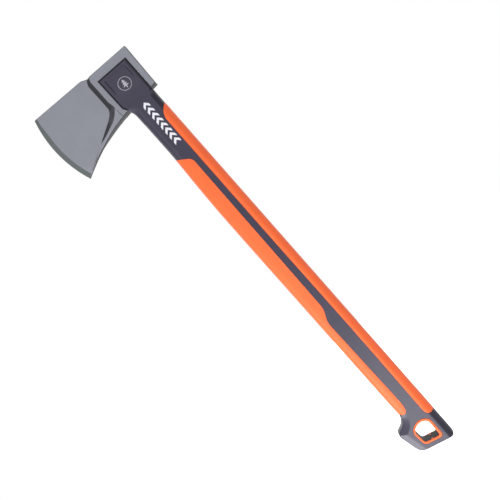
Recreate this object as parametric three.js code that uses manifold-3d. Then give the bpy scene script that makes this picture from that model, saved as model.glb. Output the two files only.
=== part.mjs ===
// Felling axe with a steel head and a moulded two-hand handle.
//
// Millimetres. +Z runs up the handle to the head, the blade points to -X, the poll to +X, and Y is
// the thickness. The origin is on the flat top of the head, over the middle of the handle.
//
// The head is one forging with a blind socket, open below, and a window through each cheek. The
// handle body is moulded around a fibreglass core and through the windows, so its cheek pads lock
// the head on. Two soft strips wrap the front and the rear of the handle, and a soft ring lines
// both rims of the hanging hole.
import * as THREE from 'three';
import * as BufferGeometryUtils from 'three/addons/utils/BufferGeometryUtils.js';
import Module from 'manifold-3d';

const wasm = await Module();
wasm.setup();

// ---- driving dimensions -----------------------------------------------------------------------
const GAP = 0.3; // clearance between two pieces
const FAR = 1000; // further than any piece reaches

// Head
const HUB_HALF = 12; // half thickness of the hub, at the cheeks
const HUB_FRONT = -34.8; // crease where the hub's flat cheek ends
const POLL_TOP = 30.8;
const POLL_BOTTOM = 29.3;
const HUB_BOTTOM_REAR = -64.7; // height of the hub's underside at the poll
const HUB_BOTTOM_FRONT = -69.6; // and in front of the handle
const HUB_BOTTOM_FRONT_X = -23;
const HEAD_CHAMFER = 1;
const TOE = { x: -130, z: 7 };
const HEEL = { x: -124.6, z: -103.5 };
const BLADE_TOP_START = { x: -47, z: 4.6 }; // where the blade's top edge leaves the hub's
const EDGE_RADIUS = 174; // sweep of the cutting edge, seen from the side
const EDGE_GRIND = 7; // width of the cutting bevel
const EDGE_HALF = 0.3; // half thickness left at the very edge
const BLADE_ROOT = -43.3; // where the thin blade begins
const BLADE_ROOT_HALF = 6;
const BLADE_TAPER = 0.0483; // loss of half thickness per millimetre of blade
const STEP_WIDTH = 6.8; // width of the step from the hub's cheek down to the blade
const BEARD_FACET_END = -83.4; // where the sloping facet behind the beard meets the blade

// Socket and windows in the head
const SOCKET = { front: -20, rear: 17, half: 8, top: -9 };
const WINDOW = { front: -24, rear: 15.5, bottom: -57, top: -19 };
const SEAT_DEPTH = 1; // the cheek pads sit this deep in the steel

// Handle
const HANDLE_HALF = 14; // half thickness of the handle
const HANDLE_REAR = 20.8;
const HANDLE_BEVEL = { width: 6.5, thickness: 5.5 };
const COLLAR_FRONT = -19.9;
const BELLY_FRONT = -22.5; // deepest place of the handle's front
const LOWER_FRONT = -20.5; // front of the handle above the hook
const PAD = { front: -28.8, rear: 20.4, top: -13.5, corner: -63, chamfer: 1.2 };
const POMMEL_BOTTOM = -693;
const BOTTOM_SLOPE = 0.26; // the pommel's end rises towards the front
const STRIP_THICKNESS = 2.5; // soft strips
const CORE = { front: -13, rear: 12, half: 5, bottom: -606 };

// Hanging hole
const HOLE = { x: -7.5, archZ: -656.7, archWidth: 11.7, archHeight: 9, seatZ: -675.5, round: 4 };
const RING_WIDTH = 3.2;
const RING_DEPTH = 2;
const RING_PROUD = 0.4;
const VEIN_WIDTH = 2.4; // the soft bar that joins the two rims

// ---- materials --------------------------------------------------------------------------------
const steel = new THREE.MeshStandardMaterial({ color: 0x8c9098, roughness: 0.5, metalness: 0.6 });
const nylon = new THREE.MeshStandardMaterial({ color: 0x504c59, roughness: 0.6, metalness: 0 });
const glassFibre = new THREE.MeshStandardMaterial({ color: 0xcfc9a8, roughness: 0.5, metalness: 0 });
const softRubber = new THREE.MeshStandardMaterial({ color: 0xff7a45, roughness: 0.7, metalness: 0 });

// ---- helpers ----------------------------------------------------------------------------------
/** A closed geometry as a solid that can be joined and cut. */
function solid(geometry) {
  const bare = geometry.clone();
  bare.deleteAttribute('normal');
  bare.deleteAttribute('uv');
  const merged = BufferGeometryUtils.mergeVertices(bare, 1e-4);
  return new wasm.Manifold(new wasm.Mesh({
    numProp: 3,
    vertProperties: new Float32Array(merged.attributes.position.array),
    triVerts: new Uint32Array(merged.index.array),
  }));
}

/** One solid of several overlapping geometries. */
function join(first, ...others) {
  return others.reduce((body, geometry) => body.add(solid(geometry)), solid(first));
}

function cut(body, ...cutters) {
  return cutters.reduce((rest, geometry) => rest.subtract(solid(geometry)), body);
}

/** A named mesh of a finished solid. */
function piece(name, body, material) {
  const { vertProperties, triVerts } = body.getMesh();
  const indexed = new THREE.BufferGeometry();
  indexed.setAttribute('position', new THREE.BufferAttribute(vertProperties, 3));
  indexed.setIndex(new THREE.BufferAttribute(triVerts, 1));
  const geometry = indexed.toNonIndexed();
  geometry.computeVertexNormals();
  const mesh = new THREE.Mesh(geometry, material);
  mesh.name = name;
  return mesh;
}

/** A side outline, drawn in X and Z, as a slab from y0 to y1. options are ExtrudeGeometry's. */
function slab(outline, y0, y1, options = {}) {
  const bevel = options.bevelThickness ?? 0;
  const geometry = new THREE.ExtrudeGeometry(outline, {
    depth: y1 - y0 - 2 * bevel,
    bevelEnabled: bevel > 0,
    ...options,
  });
  geometry.translate(0, 0, bevel);
  geometry.rotateX(Math.PI / 2); // the outline's second axis becomes Z, and its depth runs to -Y
  geometry.translate(0, y1, 0);
  return geometry;
}

/** A closed outline through corner points. */
function polygon(...corners) {
  return new THREE.Shape(corners.map(([x, z]) => new THREE.Vector2(x, z)));
}

function rectangle(x0, x1, z0, z1) {
  return polygon([x0, z0], [x1, z0], [x1, z1], [x0, z1]);
}

/** The same geometry on the other side of the middle plane, still facing outward. */
function mirrored(geometry) {
  const other = geometry.index ? geometry.toNonIndexed() : geometry.clone();
  other.scale(1, -1, 1);
  const { position } = other.attributes;
  const b = new THREE.Vector3();
  const c = new THREE.Vector3();
  for (let i = 0; i < position.count; i += 3) {
    b.fromBufferAttribute(position, i + 1);
    c.fromBufferAttribute(position, i + 2);
    position.setXYZ(i + 1, c.x, c.y, c.z);
    position.setXYZ(i + 2, b.x, b.y, b.z);
  }
  return other;
}

// ---- head -------------------------------------------------------------------------------------
/** Centre of the cutting edge's circle, on the poll's side of the toe and heel. */
function edgeCentre() {
  const dx = HEEL.x - TOE.x;
  const dz = HEEL.z - TOE.z;
  const chord = Math.hypot(dx, dz);
  const reach = Math.sqrt(EDGE_RADIUS ** 2 - (chord / 2) ** 2) / chord;
  return { x: (TOE.x + HEEL.x) / 2 - dz * reach, z: (TOE.z + HEEL.z) / 2 + dx * reach };
}

function headOutline() {
  const centre = edgeCentre();
  const toeAngle = Math.atan2(TOE.z - centre.z, TOE.x - centre.x);
  const heelAngle = Math.atan2(HEEL.z - centre.z, HEEL.x - centre.x) + 2 * Math.PI;
  const outline = new THREE.Shape();
  outline.moveTo(POLL_TOP, 0);
  outline.lineTo(-38, 0);
  outline.quadraticCurveTo(-42, BLADE_TOP_START.z * 0.9, BLADE_TOP_START.x, BLADE_TOP_START.z);
  outline.lineTo(TOE.x, TOE.z);
  outline.absarc(centre.x, centre.z, EDGE_RADIUS, toeAngle, heelAngle, false);
  outline.bezierCurveTo(-105, -91.5, -70, -75, HUB_BOTTOM_FRONT_X, HUB_BOTTOM_FRONT); // the beard
  outline.lineTo(POLL_BOTTOM, HUB_BOTTOM_REAR);
  return outline;
}

/** Half thickness of the thin blade at a place along it. */
function bladeHalf(x) {
  return BLADE_ROOT_HALF + BLADE_TAPER * (x - BLADE_ROOT);
}

/** What the thin blade's cheek is cut with: its floor is the blade, its rounded side the step. */
function bladeCutter() {
  const outline = new THREE.Shape();
  outline.moveTo(BLADE_ROOT, 40);
  outline.lineTo(-180, 40);
  outline.lineTo(-180, -133);
  outline.lineTo(-54, -60.4);
  outline.quadraticCurveTo(BLADE_ROOT, -54, BLADE_ROOT, -46);
  const drop = HUB_HALF - BLADE_ROOT_HALF;
  const cutter = slab(outline, 0, 4 * drop, {
    bevelThickness: drop,
    bevelSize: STEP_WIDTH,
    bevelSegments: 3,
    curveSegments: 6,
  });
  // Lean the floor along the blade, so that it lies at bladeHalf(x) everywhere.
  cutter.applyMatrix4(new THREE.Matrix4().set(
    1, 0, 0, 0,
    BLADE_TAPER, 1, 0, bladeHalf(0),
    0, 0, 1, 0,
    0, 0, 0, 1,
  ));
  return cutter;
}

/** What the sloping facet behind the beard is cut with, from the hub's crease down to the blade. */
function facetCutter() {
  const above = 3 * HUB_HALF;
  const proud = 0.02; // keeps this cutter clear of the blade's own floor
  const section = polygon(
    [HUB_FRONT, HUB_HALF],
    [HUB_FRONT, above],
    [-180, above],
    [-180, bladeHalf(-180) + proud],
    [BEARD_FACET_END, bladeHalf(BEARD_FACET_END) + proud],
  );
  const geometry = new THREE.ExtrudeGeometry(section, { depth: 2 * FAR, bevelEnabled: false });
  geometry.translate(0, 0, -FAR);
  return geometry;
}

/** The ring that grinds one side of the cutting bevel. */
function grindCutter() {
  const centre = edgeCentre();
  const inner = EDGE_RADIUS - EDGE_GRIND;
  const shoulder = bladeHalf(centre.x - inner);
  const slope = (shoulder - EDGE_HALF) / EDGE_GRIND;
  const above = 3 * HUB_HALF;
  const geometry = new THREE.LatheGeometry([
    new THREE.Vector2(inner - 1, shoulder + slope),
    new THREE.Vector2(EDGE_RADIUS + 1, EDGE_HALF - slope),
    new THREE.Vector2(EDGE_RADIUS + 1, above),
    new THREE.Vector2(inner - 1, above),
    new THREE.Vector2(inner - 1, shoulder + slope),
  ], 180);
  geometry.translate(centre.x, 0, centre.z);
  return geometry;
}

/** The cheek pad's outline. It narrows below the head and flows into the handle's front. */
function padOutline() {
  return polygon(
    [PAD.front, PAD.top],
    [PAD.front + 1, PAD.corner],
    [-23.4, -71],
    [-21.3, -75],
    [COLLAR_FRONT, -81],
    [COLLAR_FRONT + 3, -90],
    [PAD.rear - 3, -90],
    [PAD.rear, -80],
    [PAD.rear, PAD.top],
  );
}

/** The handle's tongue inside the socket, or the socket itself, when grown by the gap. */
function tongue(grow) {
  const outline = rectangle(SOCKET.front - grow, SOCKET.rear + grow, -100, SOCKET.top + grow);
  return slab(outline, -SOCKET.half - grow, SOCKET.half + grow);
}

/** The plug through both cheek windows. */
function plug(grow) {
  const outline = rectangle(
    WINDOW.front - grow, WINDOW.rear + grow, WINDOW.bottom - grow, WINDOW.top + grow,
  );
  return slab(outline, -HUB_HALF, HUB_HALF);
}

function makeHead() {
  const blank = solid(slab(headOutline(), -HUB_HALF, HUB_HALF, {
    bevelThickness: HEAD_CHAMFER,
    bevelSize: HEAD_CHAMFER,
    bevelOffset: -HEAD_CHAMFER,
    bevelSegments: 1,
    curveSegments: 24,
  }));
  const seat = slab(padOutline(), HUB_HALF - SEAT_DEPTH, 2 * HUB_HALF, {
    bevelThickness: 0.1,
    bevelSize: GAP,
    bevelSegments: 1,
  });
  const cutters = [facetCutter(), bladeCutter(), grindCutter(), seat];
  return cut(blank, ...cutters, ...cutters.map(mirrored), tongue(0), plug(0));
}

// ---- handle -----------------------------------------------------------------------------------
/** Height of the pommel's sloping end. */
function endZ(x) {
  return POMMEL_BOTTOM + BOTTOM_SLOPE * (HANDLE_REAR - x);
}

/** The handle's side outline with sharp outer corners, for its bevelled block. */
function handleOutline() {
  const below = POMMEL_BOTTOM - 20;
  const outline = new THREE.Shape();
  outline.moveTo(HANDLE_REAR, 20);
  outline.lineTo(PAD.front, 20);
  outline.lineTo(PAD.front, PAD.corner);
  outline.lineTo(-23.4, -71);
  outline.quadraticCurveTo(COLLAR_FRONT, -76, COLLAR_FRONT, -84);
  outline.lineTo(COLLAR_FRONT, -160);
  outline.splineThru([
    new THREE.Vector2(BELLY_FRONT, -275),
    new THREE.Vector2(-21.7, -450),
    new THREE.Vector2(LOWER_FRONT, -622),
  ]);
  outline.quadraticCurveTo(-21.5, -634.7, -31, -639); // the root of the hook
  outline.lineTo(-40.8, -643.4);
  outline.lineTo(-24.5, below);
  outline.lineTo(HANDLE_REAR, below);
  return outline;
}

/** Everything inside the pommel's rounded corners and above its sloping end. */
function roundedTrim() {
  const outline = new THREE.Shape();
  outline.moveTo(HANDLE_REAR + 1, 30);
  outline.lineTo(-45, 30);
  outline.lineTo(-45, -643.5);
  outline.lineTo(-38.5, -643.5);
  outline.quadraticCurveTo(-39.9, -645.7, -39.2, -649.5);
  outline.lineTo(-33.4, -672);
  outline.quadraticCurveTo(-31.3, endZ(-31.3), -23, endZ(-23));
  outline.lineTo(12, endZ(12));
  outline.quadraticCurveTo(HANDLE_REAR, endZ(HANDLE_REAR), HANDLE_REAR, POMMEL_BOTTOM + 9);
  outline.lineTo(HANDLE_REAR + 1, POMMEL_BOTTOM + 9);
  return outline;
}

/** The handle's whole outer form, or the form under its skin at a depth of inset. */
function handleBlock(inset) {
  return solid(slab(handleOutline(), inset - HANDLE_HALF, HANDLE_HALF - inset, {
    bevelThickness: HANDLE_BEVEL.thickness,
    bevelSize: HANDLE_BEVEL.width,
    bevelOffset: -HANDLE_BEVEL.width - inset,
    bevelSegments: 3,
    curveSegments: 8,
  }));
}

/** Everything below the underside of the head. */
function belowHead() {
  const run = POLL_BOTTOM - HUB_BOTTOM_FRONT_X;
  const slope = (HUB_BOTTOM_REAR - HUB_BOTTOM_FRONT) / run;
  const top = (x) => HUB_BOTTOM_FRONT + slope * (x - HUB_BOTTOM_FRONT_X) - GAP;
  return slab(polygon([60, top(60)], [-60, top(-60)], [-60, -FAR], [60, -FAR]), -FAR, FAR);
}

/** Side outline of the front strip: a slanted top, a narrower lower half and a round end. */
function frontStripOutline(grow) {
  const outline = new THREE.Shape();
  outline.moveTo(-60, -138.5 + grow);
  outline.lineTo(-4.8, -174 + grow);
  outline.quadraticCurveTo(-1.1 + grow, -176.6 + grow, -1 + grow, -181);
  outline.lineTo(-1.9 + grow, -441);
  outline.bezierCurveTo(-2.5 + grow, -453, -9.7 + grow, -456, -10.1 + grow, -469);
  outline.lineTo(-7.3 + grow, -612);
  outline.quadraticCurveTo(-7.3 + grow, -625.4 - grow, -14.6, -625.4 - grow);
  outline.lineTo(-19, -623.6 - grow);
  outline.lineTo(-60, -623.6 - grow);
  return outline;
}

/** Side outline of the rear strip: it starts in a sweep below the collar and ends at the pommel. */
function rearStripOutline(grow) {
  const outline = new THREE.Shape();
  outline.moveTo(60, -93 + grow);
  outline.lineTo(20.5, -93 + grow);
  outline.quadraticCurveTo(9.9 - grow, -102 + grow, 7.3 - grow, -111);
  outline.lineTo(7.3 - grow, -638);
  outline.quadraticCurveTo(7.7 - grow, -647 - grow, 14.9, -647 - grow);
  outline.lineTo(60, -647 - grow);
  return outline;
}

/** A soft strip: the handle's skin inside an outline. */
function makeStrip(outline) {
  const skin = handleBlock(0).subtract(handleBlock(STRIP_THICKNESS));
  return skin.intersect(solid(slab(outline, -FAR, FAR)));
}

/** The pocket that a strip is moulded into. */
function pocket(outline) {
  const around = handleBlock(-5).subtract(handleBlock(STRIP_THICKNESS + GAP));
  return around.intersect(solid(slab(outline, -FAR, FAR)));
}

/** The hanging hole's outline, grown outward: an arch on top and a sloping seat below. */
function holeOutline(grow) {
  const left = HOLE.x - HOLE.archWidth - grow;
  const right = HOLE.x + HOLE.archWidth + grow;
  const seat = (x) => HOLE.seatZ - grow - BOTTOM_SLOPE * (x - HOLE.x);
  const round = HOLE.round + grow;
  const outline = new THREE.Shape();
  outline.moveTo(right, HOLE.archZ);
  outline.absellipse(HOLE.x, HOLE.archZ, HOLE.archWidth + grow, HOLE.archHeight + grow, 0, Math.PI);
  outline.lineTo(left + 1, seat(left) + round);
  outline.quadraticCurveTo(left + 1.2, seat(left), left + round, seat(left + round));
  outline.lineTo(right - round, seat(right - round));
  outline.quadraticCurveTo(right, seat(right), right, seat(right) + round);
  return outline;
}

/** The bar across the hole's seat that joins the two rims. */
function vein(grow) {
  const half = VEIN_WIDTH / 2 + grow;
  const top = HOLE.seatZ - GAP;
  const bar = rectangle(HOLE.x - half, HOLE.x + half, top - RING_DEPTH - grow, top + 3 * grow);
  return slab(bar, 1 - HANDLE_HALF, HANDLE_HALF - 1);
}

function makeRing() {
  const rim = slab(holeOutline(RING_WIDTH), HANDLE_HALF - RING_DEPTH, HANDLE_HALF + RING_PROUD);
  const rims = join(rim, mirrored(rim));
  return cut(rims, slab(holeOutline(0), -FAR, FAR)).add(solid(vein(0)));
}

function core(grow, top) {
  const outline = rectangle(CORE.front - grow, CORE.rear + grow, CORE.bottom - grow, top);
  return slab(outline, -CORE.half - grow, CORE.half + grow);
}

/** Both cheek pads, with the handle's own bevel along their rear edges. */
function makePads() {
  const plates = solid(slab(padOutline(), -HANDLE_HALF, HANDLE_HALF, {
    bevelThickness: PAD.chamfer,
    bevelSize: PAD.chamfer,
    bevelOffset: -PAD.chamfer,
    bevelSegments: 1,
  }));
  const seatHalf = HUB_HALF - SEAT_DEPTH + GAP;
  const between = slab(rectangle(-60, 60, -FAR, FAR), -seatHalf, seatHalf);
  const front = slab(rectangle(-60, 0, -FAR, FAR), -FAR, FAR);
  return cut(plates, between).intersect(handleBlock(0).add(solid(front)));
}

function makeBody() {
  const shaft = handleBlock(0)
    .intersect(solid(slab(roundedTrim(), -FAR, FAR)))
    .intersect(solid(belowHead()));
  const full = shaft.add(makePads()).add(solid(tongue(-GAP))).add(solid(plug(-GAP)));
  const ringSeat = slab(holeOutline(RING_WIDTH + GAP), HANDLE_HALF - RING_DEPTH - GAP, FAR);
  return cut(
    full.subtract(pocket(frontStripOutline(GAP))).subtract(pocket(rearStripOutline(GAP))),
    core(GAP, 0),
    slab(holeOutline(0), -FAR, FAR),
    ringSeat,
    mirrored(ringSeat),
    vein(GAP),
  );
}

// ---- the axe ----------------------------------------------------------------------------------
const axe = new THREE.Group();
axe.add(
  piece('axe_head', makeHead(), steel),
  piece('handle_body', makeBody(), nylon),
  piece('core_rod', solid(core(0, SOCKET.top - GAP)), glassFibre),
  piece('front_grip', makeStrip(frontStripOutline(0)), softRubber),
  piece('rear_grip', makeStrip(rearStripOutline(0)), softRubber),
  piece('hang_hole_ring', makeRing(), softRubber),
);

export default axe;
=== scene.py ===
"""Felling axe: the visible surfaces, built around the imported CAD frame.

Outlines are drawn in millimetres in the side plane, as (x, z) pairs: z runs up the handle to the
head, the blade points to -x and the poll to +x. y is the thickness, and every piece is alike on
both sides of y = 0. Meshes are in metres.
"""
import math

import bpy
import numpy as np
from mathutils import Matrix, Vector


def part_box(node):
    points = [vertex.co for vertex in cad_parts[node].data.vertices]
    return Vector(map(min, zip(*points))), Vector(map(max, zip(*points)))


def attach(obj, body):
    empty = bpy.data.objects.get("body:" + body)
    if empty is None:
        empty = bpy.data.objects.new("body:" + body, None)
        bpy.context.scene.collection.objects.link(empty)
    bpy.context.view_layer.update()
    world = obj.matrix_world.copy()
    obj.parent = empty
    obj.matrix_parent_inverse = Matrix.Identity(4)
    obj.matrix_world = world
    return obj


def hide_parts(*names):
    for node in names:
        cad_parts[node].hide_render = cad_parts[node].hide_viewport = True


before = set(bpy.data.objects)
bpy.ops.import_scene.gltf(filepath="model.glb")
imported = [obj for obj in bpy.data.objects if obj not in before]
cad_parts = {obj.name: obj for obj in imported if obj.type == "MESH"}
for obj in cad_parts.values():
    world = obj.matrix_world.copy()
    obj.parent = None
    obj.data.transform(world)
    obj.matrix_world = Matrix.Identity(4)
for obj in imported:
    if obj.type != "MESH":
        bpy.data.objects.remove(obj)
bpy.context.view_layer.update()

MM = 0.001
GAP = 0.3  # clearance between two pieces
FAR = 1000.0  # further than any piece reaches
SHARP_ANGLE = 38  # degrees between faces, above which an edge is shaded sharp


def node_box(name):
    """A CAD node's lowest and highest corners, in millimetres."""
    low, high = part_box(name)
    return np.array(low) / MM, np.array(high) / MM


HEAD_LOW, HEAD_HIGH = node_box("axe_head")
BODY_HIGH = node_box("handle_body")[1]
RING_LOW, RING_HIGH = node_box("hang_hole_ring")
CORE_LOW, CORE_HIGH = node_box("core_rod")

# ---- head ----------------------------------------------------------------------------------
HUB_HALF = HEAD_HIGH[1]
POLL_TOP = HEAD_HIGH[0]
POLL_BOTTOM = POLL_TOP - 1.5  # the striking face leans
TOE = np.array([-130.0, HEAD_HIGH[2]])
HEEL = np.array([-124.6, HEAD_LOW[2]])
HUB_BOTTOM_REAR = np.array([POLL_BOTTOM, -64.7])
HUB_BOTTOM_FRONT = np.array([-23.0, -69.6])
EDGE_RADIUS = 174.0
EDGE_GRIND = 7.0  # width of the cutting bevel, from the heel most of the way up
TOE_GRIND = 4.2  # width of the cutting bevel at the toe
GRIND_CHANGE = (-22.0, 8.0)  # heights between which the bevel narrows
EDGE_HALF = 0.35
BLADE_ROOT = -43.3
BLADE_ROOT_HALF = 6.0
BLADE_TAPER = 0.0483  # half thickness lost for each step towards the edge
CREASE_LOW, CREASE_HIGH = -34.0, -34.8  # where the hub's flat cheek ends, below and above
LIP_HIGH, LIP_LOW = 0.1, 1.0  # step down from the cheek to the rib, at the ramp and by the beard
RIB_LENGTH = 49.0
RAMP_FILLET = 0.8  # at the foot of the ramp between blade and hub
HEAD_ARRIS = 1.3  # radius of the rounded arrises along the head's outline
PLUG_PROUD = 0.4  # the plugs reach this far past the hub's cheek, into the pads

# ---- handle --------------------------------------------------------------------------------
HANDLE_HALF = BODY_HIGH[1]
HANDLE_REAR = BODY_HIGH[0]
COLLAR_FRONT = -20.5
COLLAR_BOTTOM, COLLAR_TOP = -84.0, -66.0  # heights between which the shaft turns into the pads
PAD_FRONT = -28.8
PAD_TOP = -13.5
POMMEL_BOTTOM = -693.0
END_SLOPE = 0.26  # the pommel's end rises towards the front
SEAT_DEPTH = 1.0  # the pads sit this deep in the steel
PAD_GROOVE = 0.7  # width of the groove round them
PANEL_DEPTH = 0.8  # of the shallow panel on each pad
END_ARRIS = 1.6  # radius of the rounded arris at the pommel's end
STRIP_THICKNESS = 2.5
STRIP_PROUD = 0.25

# What the handle fills inside the head, as (x, z) corners
SOCKET_LOW, SOCKET_HIGH, SOCKET_HALF = (-20, -100), (17, -9), 8
WINDOW_LOW, WINDOW_HIGH = (-24, -57), (15.5, -19)

# ---- hanging hole --------------------------------------------------------------------------
HOLE_X = (RING_LOW[0] + RING_HIGH[0]) / 2
HOLE_Z = -664.0
HOLE_REACH = 18.0  # the hole's walls all lie within this distance of its middle
RING_WIDTH = 3.1
RING_DEPTH = 2.0  # the rims sit this deep in the nylon
RING_PROUD = RING_HIGH[1] - HANDLE_HALF
BORE_OFFSET = 0.45  # the hole sits this far forward of its rims' outer edges
VEIN_HALF = 1.2  # half width of the bar that joins the rims


# ---- outlines ------------------------------------------------------------------------------
def line(a, b, count=2):
    t = np.linspace(0, 1, count)[:, None]
    return np.array(a) * (1 - t) + np.array(b) * t


def curve(*control, count=24):
    """A Bezier curve of any degree."""
    t = np.linspace(0, 1, count)[:, None]
    layers = [np.array(p, float) * np.ones_like(t) for p in control]
    while len(layers) > 1:
        layers = [a * (1 - t) + b * t for a, b in zip(layers, layers[1:])]
    return layers[0]


def through(*points, count=16):
    """A smooth curve through points that aren't on a straight line with their neighbours."""
    p = np.array([points[0], *points, points[-1]], float)
    parts = []
    for before, start, end, after in zip(p, p[1:], p[2:], p[3:]):
        parts.append(curve(start, start + (end - before) / 6, end - (after - start) / 6, end,
                           count=count))
    return joined(*parts)


def arc(centre, radii, start, end, count=48):
    angle = np.radians(np.linspace(start, end, count))
    return np.array(centre) + np.array(radii) * np.stack([np.cos(angle), np.sin(angle)], 1)


def joined(*parts):
    """One outline of several, without doubled points."""
    points = np.concatenate([np.atleast_2d(p) for p in parts])
    keep = np.r_[True, np.linalg.norm(np.diff(points, axis=0), axis=1) > 1e-4]
    return points[keep]


def lengths(points):
    return np.r_[0, np.cumsum(np.linalg.norm(np.diff(points, axis=0), axis=1))]


def walk(points, stations):
    """Points at the given shares of an outline's length."""
    along = lengths(points)
    stations = np.asarray(stations) * along[-1]
    return np.stack([np.interp(stations, along, points[:, i]) for i in (0, 1)], 1)


def distance(points, outline):
    """Shortest distance from each point to an outline."""
    a, b = outline[:-1], outline[1:]
    best = np.full(len(points), np.inf)
    for start, end in zip(a, b):
        d = end - start
        t = np.clip(((points - start) @ d) / (d @ d), 0, 1)
        best = np.minimum(best, np.linalg.norm(points - start - t[:, None] * d, axis=1))
    return best


def smoothstep(x, low, high):
    t = np.clip((x - low) / (high - low), 0, 1)
    return t * t * (3 - 2 * t)


def smooth_min(a, b, width):
    """The lower of two heights, blended over width where they cross."""
    h = np.clip(0.5 + 0.5 * (b - a) / width, 0, 1)
    return b * (1 - h) + a * h - width * h * (1 - h)


# ---- meshes --------------------------------------------------------------------------------
def make_object(name, vertices, faces):
    mesh = bpy.data.meshes.new(name)
    mesh.from_pydata((np.asarray(vertices) * MM).tolist(), [], faces)
    mesh.update()
    obj = bpy.data.objects.new(name, mesh)
    bpy.context.scene.collection.objects.link(obj)
    return obj


def coons(left, right, bottom, top):
    """A grid of side-plane points inside four edges. Rows run from bottom to top."""
    v = (lengths(left) / lengths(left)[-1])[:, None, None]
    u = (lengths(bottom) / lengths(bottom)[-1])[None, :, None]
    ruled = left[:, None] * (1 - u) + right[:, None] * u
    lofted = bottom[None] * (1 - v) + top[None] * v
    corners = ((bottom[0] * (1 - u) + bottom[-1] * u) * (1 - v)
               + (top[0] * (1 - u) + top[-1] * u) * v)
    return ruled + lofted - corners


def slab_from_grid(name, grid, half):
    """A closed solid: the grid at -half and +half, and the wall that joins their borders."""
    rows, columns = half.shape
    x, z = grid[..., 0].ravel(), grid[..., 1].ravel()
    h = half.ravel()
    near = np.stack([x, -h, z], 1)
    far = np.stack([x, h, z], 1)
    index = np.arange(rows * columns).reshape(rows, columns)
    a, b = index[:-1, :-1].ravel(), index[:-1, 1:].ravel()
    c, d = index[1:, 1:].ravel(), index[1:, :-1].ravel()
    offset = rows * columns
    border = np.concatenate([
        index[0, :-1], index[:-1, -1], index[-1, :0:-1], index[:0:-1, 0],
    ])
    after = np.roll(border, -1)
    faces = np.concatenate([
        np.stack([a, b, c, d], 1),
        np.stack([d, c, b, a], 1) + offset,
        np.stack([border, border + offset, after + offset, after], 1),
    ])
    return make_object(name, np.concatenate([near, far]), faces.tolist())


def signed_area(outline):
    """The area inside a closed outline, negative where the outline runs clockwise."""
    after = np.roll(outline, -1, axis=0)
    return (outline[:, 0] * after[:, 1] - after[:, 0] * outline[:, 1]).sum() / 2


def prism(name, outline, y0, y1):
    """A closed outline as a slab between two heights."""
    outline = np.asarray(outline, float)
    if np.linalg.norm(outline[0] - outline[-1]) < 1e-6:
        outline = outline[:-1]
    if signed_area(outline) < 0:
        outline = outline[::-1]
    n = len(outline)
    near = np.stack([outline[:, 0], np.full(n, y0), outline[:, 1]], 1)
    far = np.stack([outline[:, 0], np.full(n, y1), outline[:, 1]], 1)
    sides = [[i, i + n, (i + 1) % n + n, (i + 1) % n] for i in range(n)]
    caps = [list(range(n)), list(range(2 * n - 1, n - 1, -1))]
    return make_object(name, np.concatenate([near, far]), sides + caps)


def box(name, low, high):
    x0, x1, z0, z1 = low[0], high[0], low[2], high[2]
    return prism(name, [(x0, z0), (x1, z0), (x1, z1), (x0, z1)], low[1], high[1])


def boolean(target, operation, *others):
    """Joins, cuts or intersects target with the others, which are used up."""
    for other in others:
        modifier = target.modifiers.new("boolean", "BOOLEAN")
        modifier.solver = "MANIFOLD"
        modifier.operation = operation
        modifier.object = other
        depsgraph = bpy.context.evaluated_depsgraph_get()
        mesh = bpy.data.meshes.new_from_object(target.evaluated_get(depsgraph))
        target.modifiers.clear()
        target.data = mesh
        bpy.data.objects.remove(other)
    return target


def finish_piece(obj, material, slot, *nodes):
    """Shading, material, body and CAD nodes of a finished piece."""
    obj.data.shade_smooth()
    obj.data.set_sharp_from_angle(angle=math.radians(SHARP_ANGLE))
    obj.data.materials.clear()
    obj.data.materials.append(material)
    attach(obj, "root")
    if nodes:
        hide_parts(*nodes)


# ---- the head ------------------------------------------------------------------------------
def edge_centre():
    """Centre of the cutting edge's circle."""
    chord = HEEL - TOE
    size = np.linalg.norm(chord)
    reach = math.sqrt(EDGE_RADIUS ** 2 - (size / 2) ** 2) / size
    return (TOE + HEEL) / 2 + reach * np.array([-chord[1], chord[0]])


def blade_half(x):
    return BLADE_ROOT_HALF + BLADE_TAPER * (x - BLADE_ROOT)


def rib_half(x, z):
    """Half thickness of the rib above the beard's edge. It thins down to the blade, ever faster."""
    start = HUB_HALF - LIP_HIGH - (LIP_LOW - LIP_HIGH) * smoothstep(-z, 50, 68)
    end = blade_half(CREASE_LOW - RIB_LENGTH)
    share = np.clip((CREASE_LOW - x) / RIB_LENGTH, 0, 1)
    return start - (start - end) * (0.35 * share + 0.65 * share ** 3)


def hub_crease(low, high):
    """The line where the hub's flat cheek ends, bowed towards the blade."""
    return curve(low, (-34.3, -47), (-38.8, -22), high, count=48)


FINE = [0, 0.12, 0.3, 0.55, 0.85, 1.2, 1.7]  # depths inside an edge where a grid has a line


def clustered(span, near_start, near_end, step):
    """Shares of a span: at the given depths near its two ends, and about a step apart between."""
    middle_start, middle_end = near_start[-1], span - near_end[-1]
    count = max(2, int(round((middle_end - middle_start) / step)) + 1)
    middle = np.linspace(middle_start, middle_end, count)
    stations = np.concatenate([near_start[:-1], middle, span - np.array(near_end[:-1])[::-1]])
    return stations / span


def inside(points, outline):
    """True for points inside a closed outline."""
    x, z = points[:, 0], points[:, 1]
    odd = np.zeros(len(points), bool)
    for (x0, z0), (x1, z1) in zip(outline, np.roll(outline, -1, axis=0)):
        crosses = (z0 > z) != (z1 > z)
        if crosses.any():
            odd ^= crosses & (x < (x1 - x0) * (z - z0) / (z1 - z0 + 1e-12) + x0)
    return odd


def bevel_radius(points):
    """Distance from the edge's centre at which the cutting bevel begins."""
    away = points - edge_centre()
    edge_z = edge_centre()[1] + EDGE_RADIUS * away[:, 1] / np.linalg.norm(away, axis=1)
    return EDGE_RADIUS - EDGE_GRIND + (EDGE_GRIND - TOE_GRIND) * smoothstep(edge_z, *GRIND_CHANGE)


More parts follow.
